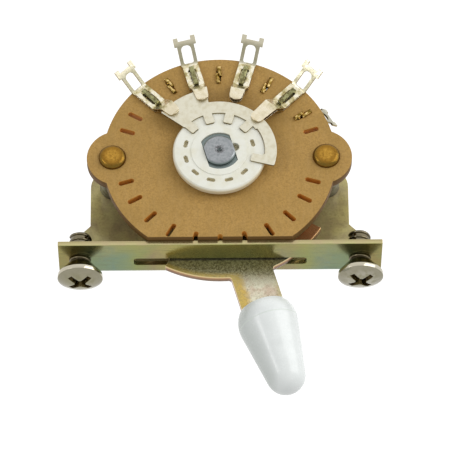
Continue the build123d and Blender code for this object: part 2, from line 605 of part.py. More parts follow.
def contact_clip(tip, rise):
    """The clip on top of a lug: a window for the staple, and the outer jaw."""
    foot = LUG_SHEET + SLIP + CLIP_SHEET / 2
    jaw = rise + BLADE_THICKNESS + RUNNING + CLIP_SHEET / 2
    bend = LUG_INNER + CLIP_LEAD
    points = [(CLIP_OUTER, foot), (bend, foot), (JAW_ROOT, jaw), (tip + CLIP_LIP, jaw), (tip, jaw + CLIP_LIP)]
    plan = jaw_plan(tip)
    plan += Pos(0, (LUG_INNER + CLIP_OUTER) / 2) * Rectangle(LUG_WIDTH, CLIP_OUTER - LUG_INNER)
    plan -= Pos(0, SLOT_RING_RADIUS) * pill(CLIP_WINDOW_WIDTH, CLIP_WINDOW_LENGTH)
    return bent_sheet(points, CLIP_SHEET, LUG_WIDTH) & extrude(plan, 2 * jaw)


def staple():
    """A wire staple: a crown on the clip, two legs through the slot and two prongs bent in side by side."""
    crown_profile = Pos(0, SLOT_RING_RADIUS) * Rectangle(CROWN_WIDTH, CROWN_LENGTH)
    crown = extrude(Pos(0, 0, CROWN_SEAT) * crown_profile, CROWN_HEIGHT)
    body = chamfer(crown.faces().sort_by(Axis.Z)[-1].edges(), CROWN_EDGE)
    tip_y = PRONG_REACH - PRONG_LENGTH
    prong_plan = make_face(Polyline(
        (-PRONG_ROOT_WIDTH / 2, PRONG_REACH), (PRONG_ROOT_WIDTH / 2, PRONG_REACH),
        (-PRONG_TIP_ASIDE + PRONG_TIP_WIDTH / 2, tip_y), (-PRONG_TIP_ASIDE - PRONG_TIP_WIDTH / 2, tip_y),
        close=True))
    prong = extrude(Pos(0, 0, -WAFER_THICKNESS) * prong_plan, -CROWN_HEIGHT)
    prong = chamfer(prong.faces().sort_by(Axis.Z)[0].edges(), CROWN_EDGE)
    leg_profile = Pos(0, LEG_OUTER - LEG_DEPTH / 2) * Rectangle(LEG_WIDTH, LEG_DEPTH)
    leg = extrude(Pos(0, 0, -WAFER_THICKNESS) * leg_profile, WAFER_THICKNESS + CROWN_SEAT)
    for turn in (0, 180):
        body += Pos(0, SLOT_RING_RADIUS) * Rot(0, 0, turn) * (leg + prong)
    return body


def on_front(piece, angle):
    """Seats a contact piece on the wafer's front face."""
    return facing(WAFER_FRONT).location * at_angle(piece, angle)


def on_rear(piece, angle):
    """Seats a contact piece on the wafer's rear face."""
    return facing(WAFER_BACK).location * at_angle(Rot(0, 180, 0) * piece, angle)


def detent_spring():
    """The spring leaf between the posts, with a nib that sits in the lever's notch."""
    nib = HEAD_RADIUS - NOTCH_DEPTH + SLIP + LEAF_THICKNESS / math.sqrt(2)
    half = [
        (LEAF_CREST - nib, LEAF_CREST), (POST_GAP_HALF / 2, LEAF_CREST - LEAF_DROP / 5),
        (POST_GAP_HALF - LEAF_THICKNESS, LEAF_ANCHOR), (POST_OUTER + 2 * LEAF_THICKNESS, LEAF_ANCHOR),
        (POST_OUTER + 3 * LEAF_THICKNESS, LEAF_ANCHOR - LEAF_TAIL)]
    points = [(-x, y) for x, y in reversed(half)] + [(0, nib)] + half
    side_view = trace(Polyline(*points), LEAF_THICKNESS)
    middle = (LEVER_BACK + LEVER_FRONT) / 2
    return slab(side_view, middle - LEAF_WIDTH / 2, middle + LEAF_WIDTH / 2)


save(frame(), "frame")
for name in ("left", "right"):
    save(mounting_screw(name), f"mounting_screw_{name}")
save(lever(), "lever")
save(knob(), "knob")
save(shaft(), "shaft")
save(pivot_bushing(), "pivot_bushing")
save(thrust_washer(), "thrust_washer")
save(retaining_ring(), "retaining_ring")
save(detent_spring(), "detent_spring")
save(rotor(), "rotor")
save(rotor_rear_disc(), "rotor_rear_disc")
save(blade(*FRONT_SECTOR_ANGLES, ROTOR_FRONT), "front_blade")
save(blade(*REAR_SECTOR_ANGLES, REAR_DISC_BACK - BLADE_THICKNESS), "rear_blade")
save(wafer(), "wafer")
for name, side in (("left", -1), ("right", 1)):
    save(wafer_rivet(side), f"wafer_rivet_{name}")
    save(wafer_spacer(side), f"wafer_spacer_{name}")

for number, angle in enumerate(FRONT_LUG_ANGLES, start=1):
    tip = COMMON_JAW_TIP if angle == FRONT_LUG_ANGLES[-1] else JAW_TIP
    save(on_front(contact_lug(tip, ROTOR_RISE, FRONT_TAG_ANGLE), angle), f"front_lug_{number}")
    save(on_front(contact_clip(tip, ROTOR_RISE), angle), f"front_clip_{number}")
for number, angle in enumerate(REAR_LUG_ANGLES, start=1):
    tip = COMMON_JAW_TIP if angle == REAR_LUG_ANGLES[-1] else JAW_TIP
    save(on_rear(contact_lug(tip, REAR_RISE, REAR_TAG_ANGLE), angle), f"rear_lug_{number}")
    save(on_rear(contact_clip(tip, REAR_RISE), angle), f"rear_clip_{number}")
save(Compound(children=[on_front(staple(), angle) for angle in FRONT_LUG_ANGLES]), "front_lug_staples")
save(Compound(children=[on_rear(staple(), angle) for angle in REAR_LUG_ANGLES]), "rear_lug_staples")
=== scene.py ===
import math

import bpy
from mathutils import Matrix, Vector


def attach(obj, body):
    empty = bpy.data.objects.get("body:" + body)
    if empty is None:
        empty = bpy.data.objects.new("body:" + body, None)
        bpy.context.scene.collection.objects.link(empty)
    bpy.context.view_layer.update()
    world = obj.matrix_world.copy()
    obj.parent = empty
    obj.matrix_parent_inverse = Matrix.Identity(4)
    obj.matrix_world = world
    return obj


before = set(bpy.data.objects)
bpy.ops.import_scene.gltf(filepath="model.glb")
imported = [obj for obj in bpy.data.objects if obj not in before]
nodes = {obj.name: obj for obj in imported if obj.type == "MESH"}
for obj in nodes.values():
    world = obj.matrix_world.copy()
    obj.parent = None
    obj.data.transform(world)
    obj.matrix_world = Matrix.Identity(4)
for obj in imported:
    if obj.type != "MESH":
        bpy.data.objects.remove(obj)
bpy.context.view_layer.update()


# The folded frame is one sheet of steel, with a tapped strip and a wall that carries the wafer.
# It is pressed, folded and then dipped, and its zinc coat shines green, yellow and pink, in ragged
# bands along the strip. The press leaves slightly rounded edges, and handling fine scratches.
MM = 0.001
WELD_GAP = 0.001 * MM
FLAT_ANGLE = math.radians(0.2)
SHARP_ANGLE = math.radians(35)
EDGE_STEPS = 2
FRAME_EDGE = 0.07 * MM
SHEET = 0.76 * MM
STRIP_FRONT_Y = -4.2 * MM
STRIP_BACK_Y = 4.2 * MM
STRIP_HALF = 23.85 * MM
BAND_DRIFT = 5 * MM
WALL_TOP_Z = -1 * MM
WALL_HALF = 19.35 * MM
CHROMATE_GREEN = (140, 148, 88)
CHROMATE_TEAL = (122, 142, 112)
CHROMATE_YELLOW = (166, 156, 88)
CHROMATE_PINK = (148, 132, 96)
CHROMATE_BLUE = (124, 132, 122)
CHROMATE_LAGOON = (112, 138, 120)
CHROMATE_BRONZE = (146, 128, 72)
CHROMATE_STRAW = (164, 154, 84)
CHROMATE_WALL_SHADE = (172, 160, 108)
CHROMATE_PURPLE = (132, 112, 88)
CHROMATE_SPECK = (104, 102, 66)
CHROMATE_CUT_HIGHLIGHT = (190, 180, 134)
CHROMATE_WALL = (200, 188, 122)
CHROMATE_SHADED = (172, 160, 118)
CHROMATE_ROSE = (186, 164, 132)


def paint(color):
    """A colour written as it looks on screen, turned into the linear one that a shader takes."""
    linear = [(c / 255 / 12.92) if c <= 10 else ((c / 255 + 0.055) / 1.055) ** 2.4 for c in color]
    return (*linear, 1.0)


def new_finish(name, roughness, metallic=0.0):
    """A material whose shader has its plain values set, and that shader."""
    finish = bpy.data.materials.new(name)
    finish.use_nodes = True
    shader = finish.node_tree.nodes["Principled BSDF"]
    shader.inputs["Roughness"].default_value = roughness
    shader.inputs["Metallic"].default_value = metallic
    return finish, shader


def add_node(finish, kind, values=(), **settings):
    """A node of a finish, with its settings and its socket values."""
    node = finish.node_tree.nodes.new(kind)
    for name, value in settings.items():
        setattr(node, name, value)
    for socket, value in dict(values).items():
        node.inputs[socket].default_value = value
    return node


def joined(finish, source, socket):
    """Feeds a source to a socket."""
    finish.node_tree.links.new(source, socket)


def coordinate(finish, axis):
    """One of the piece's own coordinates, in metres."""
    place = add_node(finish, "ShaderNodeTexCoord")
    split = add_node(finish, "ShaderNodeSeparateXYZ")
    joined(finish, place.outputs["Object"], split.inputs["Vector"])
    return split.outputs[axis]


def unsigned(finish, value):
    """A value without its sign, so that both sides of the middle are alike."""
    node = add_node(finish, "ShaderNodeMath", operation="ABSOLUTE")
    joined(finish, value, node.inputs[0])
    return node.outputs["Value"]


def times(finish, first, second):
    """The product of two factors."""
    node = add_node(finish, "ShaderNodeMath", operation="MULTIPLY")
    joined(finish, first, node.inputs[0])
    joined(finish, second, node.inputs[1])
    return node.outputs["Value"]


def noise(finish, size, detail=3.0, roughness=0.55, stretch=(1, 1, 1)):
    """Noise on the piece's own coordinates. Size is that of its features, in metres."""
    place = add_node(finish, "ShaderNodeTexCoord")
    scale = add_node(finish, "ShaderNodeMapping", {"Scale": stretch})
    values = {"Scale": 1 / size, "Detail": detail, "Roughness": roughness}
    grain = add_node(finish, "ShaderNodeTexNoise", values)
    joined(finish, place.outputs["Object"], scale.inputs["Vector"])
    joined(finish, scale.outputs["Vector"], grain.inputs["Vector"])
    return grain.outputs["Fac"]


def drifting(finish, value, size, drift):
    """A value raised by up to a drift by noise, which makes what is ranged on it ragged."""
    node = add_node(finish, "ShaderNodeMath", {1: drift}, operation="MULTIPLY_ADD")
    joined(finish, noise(finish, size, detail=3), node.inputs[0])
    joined(finish, value, node.inputs[2])
    return node.outputs["Value"]


def ramp(finish, source, stops):
    """A colour ramp on a source, with (position, colour) stops."""
    node = add_node(finish, "ShaderNodeValToRGB")
    elements = node.color_ramp.elements
    while len(elements) < len(stops):
        elements.new(0.5)
    for element, (position, color) in zip(elements, stops):
        element.position = position
        element.color = paint(color)
    joined(finish, source, node.inputs["Fac"])
    return node.outputs["Color"]


def blended(finish, factor, first, second):
    """Two colours mixed by a factor. The colours are sockets, or written as they look."""
    node = add_node(finish, "ShaderNodeMix", data_type="RGBA")
    joined(finish, factor, node.inputs[0])
    for socket, value in ((node.inputs[6], first), (node.inputs[7], second)):
        if isinstance(value, tuple):
            socket.default_value = paint(value)
        else:
            joined(finish, value, socket)
    return node.outputs[2]


def ranged(finish, source, low, high, start=0.0, end=1.0):
    """A source between start and end, spread from low to high."""
    values = {"From Min": start, "From Max": end, "To Min": low, "To Max": high}
    node = add_node(finish, "ShaderNodeMapRange", values)
    joined(finish, source, node.inputs["Value"])
    return node.outputs["Result"]


def bumped(finish, shader, source, height):
    """A bump of a height in metres, added under the shader's normal."""
    node = add_node(finish, "ShaderNodeBump", {"Distance": height})
    joined(finish, source, node.inputs["Height"])
    if shader.inputs["Normal"].is_linked:
        joined(finish, shader.inputs["Normal"].links[0].from_socket, node.inputs["Normal"])
    joined(finish, node.outputs["Normal"], shader.inputs["Normal"])


def dress(node_name, finish, edge=0.0):
    """Gives a CAD node its finish and softened edges."""
    piece = nodes[node_name]
    piece.data.materials.clear()
    piece.data.materials.append(finish)
    if edge:
        weld = piece.modifiers.new("Weld", "WELD")
        weld.merge_threshold = WELD_GAP
        whole = piece.modifiers.new("Whole faces", "DECIMATE")
        whole.decimate_type = "DISSOLVE"
        whole.angle_limit = FLAT_ANGLE
        bevel = piece.modifiers.new("Bevel", "BEVEL")
        bevel.width = edge
        bevel.segments = EDGE_STEPS
        bevel.limit_method = "ANGLE"
        bevel.angle_limit = SHARP_ANGLE
        bevel.harden_normals = True


chromate, chromate_shader = new_finish("zinc_chromate", 0.2)
across = coordinate(chromate, "X")
depth = coordinate(chromate, "Y")
height = coordinate(chromate, "Z")
bloom = noise(chromate, 3 * MM, detail=5, roughness=0.65)
tint = ramp(chromate, noise(chromate, 6 * MM, detail=2), [
    (0.32, CHROMATE_TEAL), (0.46, CHROMATE_GREEN), (0.6, CHROMATE_YELLOW), (0.78, CHROMATE_PINK)])
back_edge = ranged(chromate, depth, 0.0, 0.7, STRIP_BACK_Y - 2 * MM, STRIP_BACK_Y - 0.3 * MM)
tint = blended(chromate, back_edge, tint, CHROMATE_BLUE)
out = drifting(chromate, unsigned(chromate, across), 4 * MM, BAND_DRIFT)
out = ranged(chromate, out, 0.0, 1.0, BAND_DRIFT / 2, STRIP_HALF + BAND_DRIFT / 2)
bands = ramp(chromate, out, [
    (0.0, CHROMATE_GREEN), (0.3, CHROMATE_YELLOW), (0.4, CHROMATE_PINK), (0.53, CHROMATE_GREEN),
    (0.66, CHROMATE_LAGOON), (0.8, CHROMATE_TEAL), (0.93, CHROMATE_BRONZE)])
tint = blended(chromate, ranged(chromate, bloom, 0.5, 0.9, 0.35, 0.65), tint, bands)
front_half = ranged(chromate, depth, 0.55, 0.0, STRIP_FRONT_Y, -0.5 * MM)
tint = blended(chromate, front_half, tint, CHROMATE_STRAW)
wall = ranged(chromate, height, 0.0, 1.0, WALL_TOP_Z, WALL_TOP_Z - 1 * MM)
# Towards the middle of the wall, under the wafer, its tint is painted browner and darker as painted
# shade.
beside = times(chromate, across, across)
beside = ranged(chromate, beside, 0.0, 1.0, (WALL_HALF - 3.5 * MM) ** 2, WALL_HALF ** 2)
wall_tint = blended(chromate, beside, CHROMATE_WALL_SHADE, CHROMATE_WALL)
wall_tint = blended(chromate, ranged(chromate, bloom, 0.0, 0.7, 0.4, 0.66), wall_tint, CHROMATE_PURPLE)
tint = blended(chromate, wall, tint, wall_tint)
scratches = noise(chromate, 0.25 * MM, detail=4, stretch=(0.08, 1, 1))
scuffed = ranged(chromate, scratches, 0.0, 0.3, 0.5, 0.7)
scuffed = times(chromate, scuffed, ranged(chromate, wall, 1.0, 0.2))
tint = blended(chromate, scuffed, tint, CHROMATE_SPECK)
speckle = noise(chromate, 0.3 * MM, detail=5, roughness=0.7)
dusted = ranged(chromate, speckle, 0.0, 0.3, 0.5, 0.75)
dusted = times(chromate, dusted, ranged(chromate, wall, 1.0, 1.8))
tint = blended(chromate, dusted, tint, CHROMATE_SPECK)
cut = ranged(chromate, depth, 0.0, 0.8, STRIP_FRONT_Y + 0.1 * MM, STRIP_FRONT_Y + 0.02 * MM)
# The front cut edge is painted lighter as a painted highlight, with painted shade along its lower part.
cut_tint = ramp(chromate, ranged(chromate, height, 0.0, 1.0, -SHEET, 0.0), [
    (0.4, CHROMATE_SHADED), (0.5, CHROMATE_CUT_HIGHLIGHT), (0.85, CHROMATE_CUT_HIGHLIGHT), (1.0, CHROMATE_GREEN)])
cut_tint = blended(chromate, ranged(chromate, bloom, 0.0, 0.6, 0.45, 0.6), cut_tint, CHROMATE_ROSE)
tint = blended(chromate, cut, tint, cut_tint)
joined(chromate, tint, chromate_shader.inputs["Base Color"])
joined(chromate, ranged(chromate, wall, 0.85, 0.15), chromate_shader.inputs["Metallic"])
joined(chromate, ranged(chromate, scratches, 0.12, 0.26, 0.3, 0.7), chromate_shader.inputs["Roughness"])
bumped(chromate, chromate_shader, speckle, 0.004 * MM)
bumped(chromate, chromate_shader, noise(chromate, 5 * MM, detail=1), 0.03 * MM)
dress("frame", chromate, FRAME_EDGE)


# The bushing is turned brass, and its end is staked over behind the wall.
# The washer and the retaining ring that hold the shaft in it are steel, and so is the leaf whose
# nib drops into the lever's notches. The ring and the leaf are hardened, which darkens them.
BRASS = (140, 102, 38)
BRASS_DARK = (108, 76, 26)
BRASS_LIGHT = (160, 122, 56)
RIVET_HIGHLIGHT = (180, 138, 58)
RIVET_RIM_SHADE = (98, 78, 32)
RIVET_HALF_PITCH = 15.875 * MM
RIVET_RADIUS = 2.05 * MM
TURNED_EDGE = 0.06 * MM
RING_EDGE = 0.04 * MM
LEAF_EDGE = 0.03 * MM
STEEL = (164, 164, 160)
STEEL_DARK = (118, 118, 114)
HARDENED = (98, 98, 102)
HARDENED_DARK = (62, 62, 66)

rivet_heights = [corner[2] for corner in nodes["wafer_rivet_left"].bound_box]
RIVET_Z = sum(rivet_heights) / len(rivet_heights)


def from_pair(finish, half_spacing, other_axis, level=0.0):
    """The distance from the nearer of two axes, one on each side of the middle, in metres."""
    point = add_node(finish, "ShaderNodeCombineXYZ")
    span = add_node(finish, "ShaderNodeVectorMath", {1: (half_spacing, level, 0)}, operation="DISTANCE")
    joined(finish, unsigned(finish, coordinate(finish, "X")), point.inputs["X"])
    joined(finish, coordinate(finish, other_axis), point.inputs["Y"])
    joined(finish, point.outputs["Vector"], span.inputs[0])
    return span.outputs["Value"]


def formed_brass(name, domed):
    """Tarnished brass. On a rivet's head the crown has a painted highlight and the rim painted shade,
    which make the head look domed.
    """
    metal, shader = new_finish(name, 0.25, metallic=1.0)
    tarnish = noise(metal, 0.42 * MM, detail=5, roughness=0.65)
    color = ramp(metal, tarnish, [(0.36, BRASS_DARK), (0.5, BRASS), (0.68, BRASS_LIGHT)])
    if domed:
        reach = from_pair(metal, RIVET_HALF_PITCH, "Z", RIVET_Z)
        # A painted highlight in the middle of each rivet's head, and painted shade at its rim.
        crown = ramp(metal, ranged(metal, reach, 0.0, 1.0, 0.0, RIVET_RADIUS), [
            (0.35, RIVET_HIGHLIGHT), (0.62, BRASS), (0.84, RIVET_RIM_SHADE)])
        color = blended(metal, ranged(metal, tarnish, 0.35, 0.9, 0.38, 0.6), color, crown)
    joined(metal, color, shader.inputs["Base Color"])
    bumped(metal, shader, tarnish, 0.03 * MM)
    return metal


brass = formed_brass("formed_brass", domed=False)
rivet_brass = formed_brass("rivet_brass", domed=True)

steel, steel_shader = new_finish("dull_steel", 0.38, metallic=1.0)
wear = noise(steel, 0.6 * MM, detail=4)
joined(steel, ramp(steel, wear, [(0.35, STEEL_DARK), (0.65, STEEL)]), steel_shader.inputs["Base Color"])
bumped(steel, steel_shader, wear, 0.008 * MM)

hardened, hardened_shader = new_finish("hardened_steel", 0.32, metallic=1.0)
smoke = noise(hardened, 1.2 * MM, detail=4)
joined(hardened, ramp(hardened, smoke, [(0.35, HARDENED_DARK), (0.65, HARDENED)]),
       hardened_shader.inputs["Base Color"])
bumped(hardened, hardened_shader, smoke, 0.006 * MM)

dress("pivot_bushing", brass, TURNED_EDGE)
dress("thrust_washer", steel, RING_EDGE)
dress("retaining_ring", hardened, RING_EDGE)
dress("detent_spring", hardened, LEAF_EDGE)


# The wafer is punched from a hard paper laminate and hangs off the wall on two steel tubes.
# Its outer edge is dark brown, also on the bottom flat, where it is painted shade; the slots show the
# orange brown of the resin, lightened as painted light in their shaded depths.
# A brass rivet goes through each ear, tube and wall, and is spread over at the back.
PIVOT_Z = -14.5 * MM
WAFER_MIDDLE_Y = -4.4 * MM
WAFER_CENTRE = (0, WAFER_MIDDLE_Y, PIVOT_Z)
WAFER_FLAT_Z = -0.81 * MM
WAFER_EDGE = 0.06 * MM
TUBE_EDGE = 0.05 * MM
SLOT_OUTER_RADIUS = 16.2 * MM
LAMINATE = (184, 146, 80)
LAMINATE_DARK = (152, 118, 62)
LAMINATE_CLOUD = (156, 124, 64)
LAMINATE_FIBRE = (186, 152, 96)
LAMINATE_EDGE = (112, 82, 42)
LAMINATE_RESIN_LIT = (204, 142, 60)


def from_point(finish, point):
    """The distance from a point, in metres."""
    place = add_node(finish, "ShaderNodeTexCoord")
    span = add_node(finish, "ShaderNodeVectorMath", {1: point}, operation="DISTANCE")
    joined(finish, place.outputs["Object"], span.inputs[0])
    return span.outputs["Value"]


def facing(finish, axis):
    """How squarely the surface faces along an axis, from 0 to 1."""
    place = add_node(finish, "ShaderNodeTexCoord")
    split = add_node(finish, "ShaderNodeSeparateXYZ")
    joined(finish, place.outputs["Normal"], split.inputs["Vector"])
    return unsigned(finish, split.outputs[axis])


laminate, laminate_shader = new_finish("paper_laminate", 0.6)
laminate_shader.inputs["Specular IOR Level"].default_value = 0.25
fibre = noise(laminate, 0.25 * MM, detail=5, roughness=0.7)
face = ramp(laminate, fibre, [(0.3, LAMINATE_DARK), (0.6, LAMINATE)])
cloud = noise(laminate, 6 * MM, detail=2)
face = blended(laminate, ranged(laminate, cloud, 0.0, 0.5, 0.4, 0.7), face, LAMINATE_CLOUD)
weave = noise(laminate, 0.5 * MM, detail=3, stretch=(1, 1, 0.25))
face = blended(laminate, ranged(laminate, weave, 0.0, 0.22, 0.45, 0.7), face, LAMINATE_FIBRE)
reach = from_point(laminate, WAFER_CENTRE)
outside = ranged(laminate, reach, 0.0, 1.0, SLOT_OUTER_RADIUS - 0.1 * MM, SLOT_OUTER_RADIUS + 0.1 * MM)
# The slots' sides are the resin's colour lightened as painted light; the outer edge is dark brown.
sides = blended(laminate, outside, LAMINATE_RESIN_LIT, LAMINATE_EDGE)
height = coordinate(laminate, "Z")
# The bottom flat is painted dark brown as painted shade.
on_flat = ranged(laminate, height, 0.0, 1.0, WAFER_FLAT_Z - 0.2 * MM, WAFER_FLAT_Z - 0.05 * MM)
sides = blended(laminate, on_flat, sides, LAMINATE_EDGE)
cut = ranged(laminate, facing(laminate, "Y"), 1.0, 0.0, 0.55, 0.9)
joined(laminate, blended(laminate, cut, face, sides), laminate_shader.inputs["Base Color"])
bumped(laminate, laminate_shader, fibre, 0.02 * MM)
bumped(laminate, laminate_shader, weave, 0.012 * MM)
dress("wafer", laminate, WAFER_EDGE)

for end in ("left", "right"):
    dress(f"wafer_spacer_{end}", steel, TUBE_EDGE)
    dress(f"wafer_rivet_{end}", rivet_brass, TURNED_EDGE)


# Each contact is a solder lug with a clip on it, stamped from thin brass and plated with silver.
# Their jaws grip the rotor's blades from both sides, which has rubbed them pale. The plate has
# yellowed on the clips. The tags that solder goes to are painted grey as painted shade, lighter at their
# tips as a painted reflection.
CONTACT_COUNT = 4
CONTACT_EDGE = 0.05 * MM
TAG_ROOT_RADIUS = 16.9 * MM
TAG_TIP_RADIUS = 20.0 * MM
JAW_RADIUS = 11.3 * MM
SILVER = (198, 187, 148)
SILVER_PALE = (228, 222, 202)
SILVER_DULL = (150, 138, 92)
SILVER_SPECK = (136, 126, 92)
SILVER_RUBBED = (218, 208, 184)
TAG_SHADE = (150, 146, 124)
TAG_TIP = (196, 190, 168)
SILVER_CUT = (152, 126, 72)


def silver_plate(name, shaded_tags):
    """Yellowed silver plate, rubbed at the jaws. The tags can be painted grey from their root outwards as
    painted shade, lighter at their tips as a painted reflection.
    """
    plate, shader = new_finish(name, 0.28, metallic=1.0)
    yellowing = noise(plate, 0.9 * MM, detail=3)
    color = ramp(plate, yellowing, [(0.34, SILVER_DULL), (0.46, SILVER), (0.6, SILVER_PALE)])
    reach = from_point(plate, WAFER_CENTRE)
    rubbed = ranged(plate, reach, 0.75, 0.0, JAW_RADIUS - 0.4 * MM, JAW_RADIUS + 0.3 * MM)
    color = blended(plate, rubbed, color, SILVER_RUBBED)
    if shaded_tags:
        # Painted shade greys the tags, and a painted reflection lightens their tips.
        tip = ranged(plate, reach, 0.0, 1.0, TAG_TIP_RADIUS - 0.6 * MM, TAG_TIP_RADIUS)
        grey = blended(plate, tip, TAG_SHADE, TAG_TIP)
        tag = ranged(plate, reach, 0.0, 0.9, TAG_ROOT_RADIUS - 0.2 * MM, TAG_ROOT_RADIUS + 0.3 * MM)
        color = blended(plate, tag, color, grey)
    cut = ranged(plate, facing(plate, "Y"), 0.8, 0.0, 0.1, 0.35)
    color = blended(plate, cut, color, SILVER_CUT)
    grain = noise(plate, 0.16 * MM, detail=4, roughness=0.7)
    color = blended(plate, ranged(plate, grain, 0.0, 0.2, 0.5, 0.8), color, SILVER_SPECK)
    joined(plate, color, shader.inputs["Base Color"])
    joined(plate, ranged(plate, yellowing, 0.36, 0.2, 0.3, 0.7), shader.inputs["Roughness"])
    bumped(plate, shader, noise(plate, 0.5 * MM, detail=3), 0.02 * MM)
    return plate


lug_plate = silver_plate("lug_plate", shaded_tags=True)
clip_plate = silver_plate("clip_plate", shaded_tags=False)
for side in ("front", "rear"):
    for number in range(1, CONTACT_COUNT + 1):
        dress(f"{side}_lug_{number}", lug_plate, CONTACT_EDGE)
        dress(f"{side}_clip_{number}", clip_plate, CONTACT_EDGE)


# A wire staple holds each lug and clip to the wafer. Its crown has the grey green of the plating
# bath, and its two prongs, bent in on the far side, are bare dark brass with bright patches painted as
# highlights.
WIRE_EDGE = 0.05 * MM
CROWN_FROM_MIDDLE = 1.3 * MM
CROWN_GREEN = (148, 146, 104)
CROWN_DARK = (100, 94, 62)
PRONG_DARK = (110, 88, 34)
PRONG = (164, 136, 68)
PRONG_HIGHLIGHT = (226, 200, 140)

wire, wire_shader = new_finish("staple_wire", 0.24, metallic=1.0)
kinks = noise(wire, 0.5 * MM, detail=3)
# The brightest patches of the bare prongs are painted highlights.
bare = ramp(wire, kinks, [(0.38, PRONG_DARK), (0.5, PRONG), (0.64, PRONG_HIGHLIGHT)])
away = add_node(wire, "ShaderNodeMath", {1: WAFER_MIDDLE_Y}, operation="SUBTRACT")
joined(wire, coordinate(wire, "Y"), away.inputs[0])
out = unsigned(wire, away.outputs["Value"])
crown = ranged(wire, out, 0.0, 1.0, CROWN_FROM_MIDDLE - 0.02 * MM, CROWN_FROM_MIDDLE + 0.02 * MM)
plated = ramp(wire, kinks, [(0.4, CROWN_DARK), (0.6, CROWN_GREEN)])
joined(wire, blended(wire, crown, bare, plated), wire_shader.inputs["Base Color"])
bumped(wire, wire_shader, kinks, 0.03 * MM)
for side in ("front", "rear"):
    dress(f"{side}_lug_staples", wire, WIRE_EDGE)


# The rotor is moulded in white plastic, with a ring of pockets for the blades' tabs.
# Its hub turns in the wafer, and a second disc is pressed on behind it.
ROTOR_FACE_Y = -6.9 * MM
ROTOR_EDGE = 0.06 * MM
ROTOR_WHITE = (234, 234, 222)
ROTOR_STAIN = (228, 226, 208)
ROTOR_POCKET_SHADE = (222, 214, 186)

moulded, moulded_shader = new_finish("moulded_white", 0.4)
shade = noise(moulded, 2.2 * MM, detail=3)
color = ramp(moulded, shade, [(0.36, ROTOR_STAIN), (0.56, ROTOR_WHITE)])
depth = coordinate(moulded, "Y")
# Inside the pockets the white is painted darker as painted shade.
sunk = ranged(moulded, depth, 0.0, 1.0, ROTOR_FACE_Y + 0.05 * MM, ROTOR_FACE_Y + 0.25 * MM)
joined(moulded, blended(moulded, sunk, color, ROTOR_POCKET_SHADE), moulded_shader.inputs["Base Color"])
bumped(moulded, moulded_shader, noise(moulded, 0.4 * MM, detail=3), 0.008 * MM)
dress("rotor", moulded, ROTOR_EDGE)
dress("rotor_rear_disc", moulded, ROTOR_EDGE)


# The blades are stamped from brass sheet, plated and crimped to the rotor by their tabs.
# Rubbing in the jaws has left them satin, and their cut edges are darker.
BLADE_EDGE = 0.03 * MM
BLADE_CREAM = (204, 200, 182)
BLADE_WORN = (194, 188, 166)
BLADE_CUT = (150, 138, 104)

satin, satin_shader = new_finish("satin_plate", 0.4, metallic=1.0)
rubbed = noise(satin, 0.7 * MM, detail=4)
color = ramp(satin, rubbed, [(0.34, BLADE_WORN), (0.56, BLADE_CREAM)])
cut = ranged(satin, facing(satin, "Y"), 1.0, 0.0, 0.5, 0.9)
joined(satin, blended(satin, cut, color, BLADE_CUT), satin_shader.inputs["Base Color"])
bumped(satin, satin_shader, rubbed, 0.012 * MM)
for side in ("front", "rear"):
    dress(f"{side}_blade", satin, BLADE_EDGE)


# The shaft is turned steel with flats for the lever and the rotor.
# The lathe's centre has left a rough star in the middle of its end.
SHAFT_GREY = (152, 155, 157)
SHAFT_DULL = (130, 134, 136)
SHAFT_SIDE_SHADE = (112, 122, 120)
SHAFT_MARK = (84, 80, 80)
SHAFT_MARK_RADIUS = 1.0 * MM
SHAFT_END_Y = -7.45 * MM
SHAFT_EDGE = 0.05 * MM

turned, turned_shader = new_finish("turned_steel", 0.36, metallic=1.0)
grain = noise(turned, 0.35 * MM, detail=4)
color = ramp(turned, grain, [(0.34, SHAFT_DULL), (0.62, SHAFT_GREY)])
place = add_node(turned, "ShaderNodeTexCoord")
apart = add_node(turned, "ShaderNodeMapping", {"Location": (0, 0, -PIVOT_Z), "Scale": (1, 0, 1)})
joined(turned, place.outputs["Object"], apart.inputs["Vector"])
reach = add_node(turned, "ShaderNodeVectorMath", operation="LENGTH")
joined(turned, apart.outputs["Vector"], reach.inputs[0])
marked = ranged(turned, reach.outputs["Value"], 1.0, 0.0, 0.3 * MM, SHAFT_MARK_RADIUS)
pits = noise(turned, 0.3 * MM, detail=5, roughness=0.8)
marked = times(turned, marked, ranged(turned, pits, 0.0, 1.0, 0.42, 0.56))
# Behind its end the shaft is painted darker as painted shade, where it lies in the rotor's socket.
side = ranged(turned, coordinate(turned, "Y"), 0.0, 1.0, SHAFT_END_Y + 0.1 * MM, SHAFT_END_Y + 0.2 * MM)
color = blended(turned, side, blended(turned, marked, color, SHAFT_MARK), SHAFT_SIDE_SHADE)
joined(turned, color, turned_shader.inputs["Base Color"])
bumped(turned, turned_shader, grain, 0.008 * MM)
bumped(turned, turned_shader, marked, -0.08 * MM)
dress("shaft", turned, SHAFT_EDGE)


